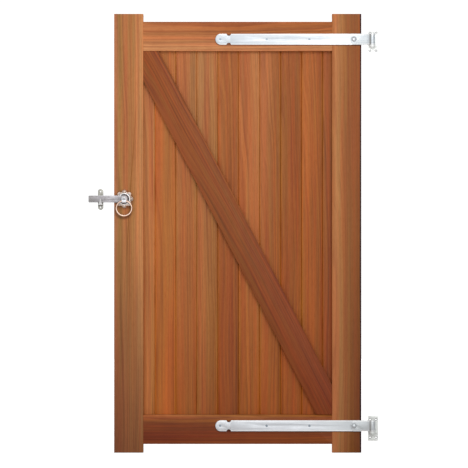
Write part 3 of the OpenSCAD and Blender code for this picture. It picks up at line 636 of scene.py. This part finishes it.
# the brace's foot tones are darker: partly the wood's own colour, partly painted shade lower down
brace = {
    "width": 110 * mm, "seed": 29.0, "figure": 1.2, "pores": 0.3, "change": (0.05, 0.6),
    "foot": [(0.1, (132, 69, 33)), (0.9, (128, 65, 31))],
    "top": [(0.1, (144, 82, 52)), (0.5, (146, 81, 50)), (0.9, (144, 80, 50))],
}


def makeBrace():
    low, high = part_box("brace")
    span = high - low
    lean = math.atan2(span.x, span.z)
    bm = mergedCopy("brace")
    easeEdges(bm, arrisWidth, longEdge)
    markEnds(bm, Vector((math.sin(-lean), 0, math.cos(lean))))
    material = timberMaterial("braceWood", brace, brace["seed"], boxCentre("brace"), (0, -lean, 0),
                              (brace["width"], math.hypot(span.x, span.z)))
    addPiece("brace_timber", bm, material, "leaf", ["brace"])


wedges = {
    "seed": 41.0, "figure": 0.5, "pores": 0.3, "change": (0.0, 1.0), "eased": 0.2 * mm, "longEdge": 2 * mm,
    "foot": [(0.0, (150, 92, 56)), (1.0, (140, 84, 50))],
    "top": [(0.0, (156, 96, 60)), (1.0, (146, 88, 54))],
}


def makeWedges():
    low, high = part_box("tenon_wedges")
    material = timberMaterial("wedgeWood", wedges, wedges["seed"], boxCentre("tenon_wedges"), turns["x"],
                              (high.z - low.z, high.x - low.x))
    bm = mergedCopy("tenon_wedges")
    easeEdges(bm, wedges["eased"], wedges["longEdge"])
    markEnds(bm, along["x"])
    addPiece("tenon_wedges_timber", bm, material, "leaf", ["tenon_wedges"])


makeMembers()
makeBoards()
makeBrace()
makeWedges()
print("garden gate: timber done")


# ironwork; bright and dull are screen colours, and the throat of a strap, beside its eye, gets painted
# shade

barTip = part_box("latch_bar")[0].x
eyeThroatShade = {"at": -12.5 * mm, "fast": 1.0 * mm, "clean": 4.5 * mm, "depth": 0.85}
strapEdge = {"from": 7 * mm, "to": 3 * mm, "depth": 1.0}


def strapRim(strapName):
    low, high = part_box(strapName)
    half = (high.z - low.z) / 2
    return {"middle": (low.z + high.z) / 2, "from": half - strapEdge["from"],
            "to": half - strapEdge["to"], "depth": strapEdge["depth"]}


zincFinishes = {
    "topStrapZinc": {
        "bright": (201, 206, 210), "dull": (180, 190, 201), "bloom": 0.15, "streak": 0.5, "metal": 0.4,
        "darkBand": eyeThroatShade, "rim": strapRim("top_strap"),
        # painted light: the top strap brightens towards its eye
        "fade": {"from": -0.45, "to": -0.1, "bright": (220, 225, 227)}},
    "bottomStrapZinc": {
        "bright": (217, 221, 226), "dull": (200, 205, 210), "bloom": 0.3, "streak": 0.3, "metal": 0.35,
        "darkBand": eyeThroatShade, "rim": strapRim("bottom_strap"),
        # painted light: the bottom strap darkens towards its eye
        "fade": {"from": -0.3, "to": -0.08, "bright": (198, 203, 205)}},
    "plateZinc": {
        "bright": (248, 250, 248), "dull": (222, 224, 221), "bloom": 0.4, "streak": 0.2, "metal": 0.2},
    # a darker copy of the upper plate's zinc: painted shade for less light lower down
    "lowPlateZinc": {
        "bright": (228, 231, 228), "dull": (200, 203, 200), "bloom": 0.4, "streak": 0.2, "metal": 0.2},
    "barZinc": {
        "bright": (178, 175, 179), "dull": (143, 139, 141), "bloom": 0.5, "streak": 0.5,
        "darkBand": {"at": barTip, "fast": 6 * mm, "clean": 40 * mm, "depth": 0.55}},
    "keepZinc": {
        "bright": (160, 159, 151), "dull": (118, 116, 110), "bloom": 0.6, "streak": 0.2},
    # the warm tint of the rose and ring zinc is a painted reflection of the timber
    "roseZinc": {
        "bright": (186, 166, 153), "dull": (138, 118, 104), "bloom": 0.4, "streak": 0.1, "metal": 1.0},
    "ringZinc": {
        "bright": (246, 216, 196), "dull": (200, 172, 154), "bloom": 0.25, "streak": 0.05, "metal": 1.0},
    "bossZinc": {
        "bright": (244, 246, 252), "dull": (212, 213, 214), "bloom": 0.3, "streak": 0.05, "metal": 0.25},
    "spindleSteel": {
        "bright": (186, 186, 190), "dull": (136, 136, 138), "bloom": 0.6, "streak": 0.3, "metal": 1.0},
    "fixingZinc": {
        "bright": (214, 218, 222), "dull": (168, 174, 178), "bloom": 0.3, "streak": 0.1, "metal": 0.7},
    "screwZinc": {
        "bright": (152, 162, 172), "dull": (104, 113, 122), "bloom": 0.5, "streak": 0.1, "metal": 0.8},
    "nailSteel": {
        "bright": (170, 168, 165), "dull": (110, 106, 102), "bloom": 0.6, "streak": 0.2, "metal": 1.0},
}
zinc = {name: zincMaterial(name, **finish) for name, finish in zincFinishes.items()}

ironEdge = {"shortest": 0.05 * mm, "sharp": 35}  # sharp is in degrees
ironPieces = {
    "top_strap": {"zinc": "topStrapZinc", "body": "leaf", "slot": "strap_zinc", "eased": 0.6},
    "bottom_strap": {"zinc": "bottomStrapZinc", "body": "leaf", "slot": "strap_zinc", "eased": 0.6},
    "lower_hook_plate": {"zinc": "lowPlateZinc", "body": "post_fixings", "slot": "strap_zinc", "eased": 0.4,
                         "holes": True},
    "upper_hook_plate": {"zinc": "plateZinc", "body": "post_fixings", "slot": "strap_zinc", "eased": 0.4,
                         "holes": True},
    "latch_keep": {"zinc": "keepZinc", "body": "post_fixings", "slot": "bar_zinc", "eased": 0.6},
    "latch_bar": {"zinc": "barZinc", "body": "latch", "slot": "bar_zinc", "eased": 0.7},
    "front_boss": {"zinc": "bossZinc", "body": "latch", "slot": "latch_zinc", "eased": 0.3},
    "back_boss": {"zinc": "bossZinc", "body": "latch", "slot": "latch_zinc", "eased": 0.3},
}
holes = {
    "across": 12 * mm, "up": 36 * mm, "reach": 3.6 * mm, "level": 0.01 * mm, "sink": 1.7 * mm, "paintedShade": 0.95,
}


def sinkHoles(bm, centre, dark):
    # opens the front rim of each fixing hole to a small countersink, which is painted dark as shade in the
    # recess
    corners = [(i, j) for i in (-1, 1) for j in (-1, 1)]
    middles = [centre + Vector((i * holes["across"], 0, j * holes["up"])) for i, j in corners]
    front = min(vert.co.y for vert in bm.verts if abs(vert.co.z - middles[0].z) < holes["reach"])
    rims = []
    for edge in bm.edges:
        onFront = all(abs(vert.co.y - front) < holes["level"] for vert in edge.verts)
        for middle in middles:
            apart = [math.hypot(vert.co.x - middle.x, vert.co.z - middle.z) for vert in edge.verts]
            if onFront and max(apart) < holes["reach"]:
                rims.append(edge)
    made = bmesh.ops.bevel(bm, geom=rims, offset=holes["sink"], offset_type="OFFSET", segments=1,
                           profile=0.5, affect="EDGES", clamp_overlap=False, material=-1)
    for face in made["faces"]:
        face[dark] = holes["paintedShade"]


# the painted highlight on the front of the keep's nose, and the painted shade on the lower edges of the
# straps clear of the stile

noseHighlight = {"before": -8 * mm, "bright": 2.0}
strapShade = {"straps": ("top_strap", "bottom_strap"), "beyond": -24 * mm, "forward": 0.1, "depth": 0.9}


def makeIronPieces():
    for name, iron in ironPieces.items():
        bm = mergedCopy(name)
        dark = bm.faces.layers.float.new("dark")
        if iron.get("holes"):
            sinkHoles(bm, boxCentre(name), dark)
        easeEdges(bm, iron["eased"] * mm, ironEdge["shortest"], ironEdge["sharp"])
        # painted shade on the straps' downward-facing lower edges
        if name in strapShade["straps"]:
            for face in bm.faces:
                clear = face.calc_center_median().x > strapShade["beyond"]
                low = face.normal.z < -facing["slope"] and face.normal.y < -strapShade["forward"]
                if clear and low:
                    face[dark] = strapShade["depth"]
        # painted highlight on the front of the keep's nose
        if name == "latch_keep":
            arris = bm.faces.layers.float["arris"]
            for face in bm.faces:
                onNose = face.calc_center_median().y < noseHighlight["before"]
                if onNose and face.normal.y < -facing["slope"]:
                    face[arris] = noseHighlight["bright"]
        addPiece(name + "_iron", bm, zinc[iron["zinc"]], iron["body"], [name])


# the roses: a pressed dome stands on each of the four lobes that have no screw

rose = {
    "thick": 2.5 * mm, "well": 19.6 * mm, "bead": (18.5 * mm, 25.5 * mm), "lobeRing": 28 * mm,
    "dome": 6.8 * mm, "rise": 2.2 * mm, "rings": 5, "around": 28, "sunk": 0.2 * mm, "eased": 0.5 * mm,
    "wellShade": 0.85, "beadHighlight": 1.8,
}
spindleCentre = boxCentre("latch_spindle")


def addDome(bm, centre, outward):
    # a stack of circles from the rim to the crown, closed by a last small face
    lay = Matrix.Translation(centre) @ Matrix.Rotation(math.pi / 2, 4, "X")
    made = bmesh.ops.create_circle(bm, cap_ends=False, segments=rose["around"], radius=rose["dome"],
                                   matrix=lay)
    edges = list({edge for vert in made["verts"] for edge in vert.link_edges})
    for i in range(1, rose["rings"] + 1):
        slope = 0.5 * math.pi * i / (rose["rings"] + 1)
        grown = bmesh.ops.extrude_edge_only(bm, edges=edges)["geom"]
        verts = [item for item in grown if isinstance(item, bmesh.types.BMVert)]
        edges = [item for item in grown if isinstance(item, bmesh.types.BMEdge)]
        for vert in verts:
            flat = vert.co - centre
            flat.y = 0
            vert.co = centre + flat.normalized() * rose["dome"] * math.cos(slope)
            vert.co.y = centre.y + outward * rose["rise"] * math.sin(slope)
    crown = bmesh.ops.contextual_create(bm, geom=edges)["faces"]
    topRow = {face for vert in crown[0].verts for face in vert.link_faces}
    bmesh.ops.recalc_face_normals(bm, faces=list(topRow))


def makeRoses():
    for name, outward in (("front_rose", -1), ("back_rose", 1)):
        low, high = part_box(name)
        face = high.y - rose["thick"] if outward < 0 else low.y + rose["thick"]
        bm = mergedCopy(name)
        easeEdges(bm, rose["eased"], ironEdge["shortest"], ironEdge["sharp"])
        dark = bm.faces.layers.float.new("dark")
        arris = bm.faces.layers.float["arris"]
        for part in bm.faces:
            spots = [vert.co - spindleCentre for vert in part.verts]
            spans = [math.hypot(spot.x, spot.z) for spot in spots]
            raised = outward * (part.calc_center_median().y - face) > rose["sunk"]
            # painted shade in the sunk well round the spindle, and a painted highlight on the raised bead
            if max(spans) < rose["well"] and not raised:
                part[dark] = rose["wellShade"]
            elif raised and rose["bead"][0] < min(spans) and max(spans) < rose["bead"][1]:
                part[arris] = rose["beadHighlight"]
        for turn in range(4):
            angle = turn * math.pi / 2
            centre = Vector((spindleCentre.x + rose["lobeRing"] * math.cos(angle),
                             face - outward * rose["sunk"],
                             spindleCentre.z + rose["lobeRing"] * math.sin(angle)))
            addDome(bm, centre, outward)
        addPiece(name + "_iron", bm, zinc["roseZinc"], "leaf", [name])


# the rings: finer at the sides than at the bottom, with a straight length through the boss

ring = {
    "outer": 33.8 * mm, "wire": 3.4 * mm, "flat": 11.2 * mm, "fined": 0.16, "around": 96, "section": 24,
    "smooth": 50,
}


def makeRings():
    for name in ("front_ring", "back_ring"):
        low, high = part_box(name)
        mid = ring["outer"] - ring["wire"]
        centre = Vector((spindleCentre.x, (low.y + high.y) / 2, low.z + ring["outer"]))
        gap = math.asin(ring["flat"] / mid)
        bm = bmesh.new()
        start = centre + Vector((ring["flat"], 0, mid * math.cos(gap)))
        lay = Matrix.Rotation(gap, 4, "Y") @ Matrix.Rotation(math.pi / 2, 4, "Y")
        bmesh.ops.create_circle(bm, cap_ends=False, segments=ring["section"], radius=ring["wire"],
                                matrix=Matrix.Translation(start) @ lay)
        first = bm.edges[:]
        spun = bmesh.ops.spin(bm, geom=bm.verts[:] + first, cent=centre, axis=(0, 1, 0),
                              angle=2 * math.pi - 2 * gap, steps=ring["around"], use_merge=False)
        last = [item for item in spun["geom_last"] if isinstance(item, bmesh.types.BMEdge)]
        for vert in bm.verts:
            flat = vert.co - centre
            flat.y = 0
            direction = flat.normalized()
            finer = 1 - ring["fined"] * direction.x ** 2
            line = centre + direction * mid
            vert.co = line + (vert.co - line) * finer + direction * ring["wire"] * (1 - finer)
        bmesh.ops.bridge_loops(bm, edges=first + last)
        bmesh.ops.recalc_face_normals(bm, faces=bm.faces[:])
        addPiece(name + "_iron", bm, zinc["ringZinc"], name, [name], ring["smooth"])


cadFinishes = {
    "strap_screws": "screwZinc", "strap_bolts": "fixingZinc", "strap_bolt_washers": "fixingZinc",
    "strap_bolt_nuts": "fixingZinc", "front_rose_screws": "fixingZinc", "back_rose_screws": "fixingZinc",
    "lower_hook_pin": "lowPlateZinc", "upper_hook_pin": "plateZinc", "latch_spindle": "spindleSteel",
    "boss_pins": "barZinc",
    "top_board_nails": "nailSteel", "bottom_board_nails": "nailSteel", "brace_nails": "nailSteel",
}


def finishCadNodes():
    for name, finish in cadFinishes.items():
        finished = nodes[name].data
        finished.materials.clear()
        finished.materials.append(zinc[finish])


makeIronPieces()
makeRoses()
makeRings()
finishCadNodes()
print("garden gate: ironwork done")


# floor, lights and camera

stage = {
    "floorSize": 14.0, "floorBack": 2.0, "floorDrop": 1 * mm, "floorTone": 0.75, "floorRoughness": 0.9,
    "glow": 0.72, "surround": 0.44, "backdrop": 1.1, "distance": 12.0, "viewWidth": 1.893, "sensor": 36.0,
    "farthest": 100.0, "aimSide": 15 * mm, "aimDown": 3 * mm,
}
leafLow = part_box("latch_stile")[0]
leafMiddle = (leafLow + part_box("hinge_stile")[1]) / 2
aim = Vector((leafMiddle.x - stage["aimSide"], leafLow.y, leafMiddle.z - stage["aimDown"]))


def makeFloor():
    bm = bmesh.new()
    bmesh.ops.create_grid(bm, x_segments=1, y_segments=1, size=stage["floorSize"] / 2)
    bmesh.ops.translate(bm, verts=bm.verts, vec=(aim.x, stage["floorBack"], leafLow.z - stage["floorDrop"]))
    plane = bpy.data.meshes.new("floor")
    bm.to_mesh(plane)
    bm.free()
    floor = bpy.data.objects.new("floor", plane)
    scene.collection.objects.link(floor)
    material = bpy.data.materials.new("paleFloor")
    material.use_nodes = True
    tree = material.node_tree
    shader = tree.nodes["Principled BSDF"]
    tone = stage["floorTone"]
    shader.inputs["Base Color"].default_value = (tone, tone, tone, 1)
    shader.inputs["Roughness"].default_value = stage["floorRoughness"]
    shader.inputs["Emission Color"].default_value = (1, 1, 1, 1)
    path = addNode(tree, "ShaderNodeLightPath")
    glow = calc(tree, "MULTIPLY", path.outputs["Is Camera Ray"], stage["glow"])
    linked(tree, glow, shader.inputs["Emission Strength"])
    plane.materials.append(material)


def makeWorld():
    world = bpy.data.worlds.new("studio")
    world.use_nodes = True
    tree = world.node_tree
    tree.nodes.clear()
    white = (1, 1, 1, 1)
    seen = addNode(tree, "ShaderNodeBackground", {"Color": white, "Strength": stage["backdrop"]})
    lit = addNode(tree, "ShaderNodeBackground", {"Color": white, "Strength": stage["surround"]})
    path = addNode(tree, "ShaderNodeLightPath")
    choice = {0: path.outputs["Is Camera Ray"], 1: lit.outputs[0], 2: seen.outputs[0]}
    mix = addNode(tree, "ShaderNodeMixShader", choice)
    output = addNode(tree, "ShaderNodeOutputWorld")
    linked(tree, mix.outputs[0], output.inputs["Surface"])
    scene.world = world


lights = {
    "key": {"from": (0.6, -3.7, 2.1), "size": 1.2, "power": 30.0},
    "card": {"from": (0.0, -14.0, 0.5), "size": 16.0, "power": 1350.0},
    "rear": {"from": (2.0, 13.0, 3.0), "size": 12.0, "power": 620.0},
}


def makeLights():
    for name, light in lights.items():
        data = bpy.data.lights.new(name, "AREA")
        data.shape = "SQUARE"
        data.size = light["size"]
        data.energy = light["power"]
        lamp = bpy.data.objects.new(name, data)
        scene.collection.objects.link(lamp)
        lamp.visible_camera = False
        lamp.location = aim + Vector(light["from"])
        lamp.rotation_euler = (aim - lamp.location).to_track_quat("-Z", "Y").to_euler()


def makeCamera():
    data = bpy.data.cameras.new("camera")
    data.sensor_width = stage["sensor"]
    data.lens = stage["sensor"] * stage["distance"] / stage["viewWidth"]
    data.clip_end = stage["farthest"]
    camera = bpy.data.objects.new("camera", data)
    camera.location = aim - Vector((0, stage["distance"], 0))
    camera.rotation_euler = (math.pi / 2, 0, 0)
    scene.collection.objects.link(camera)
    scene.camera = camera


makeFloor()
makeWorld()
makeLights()
makeCamera()
scene.view_settings.view_transform = "Standard"
print("garden gate: stage done")
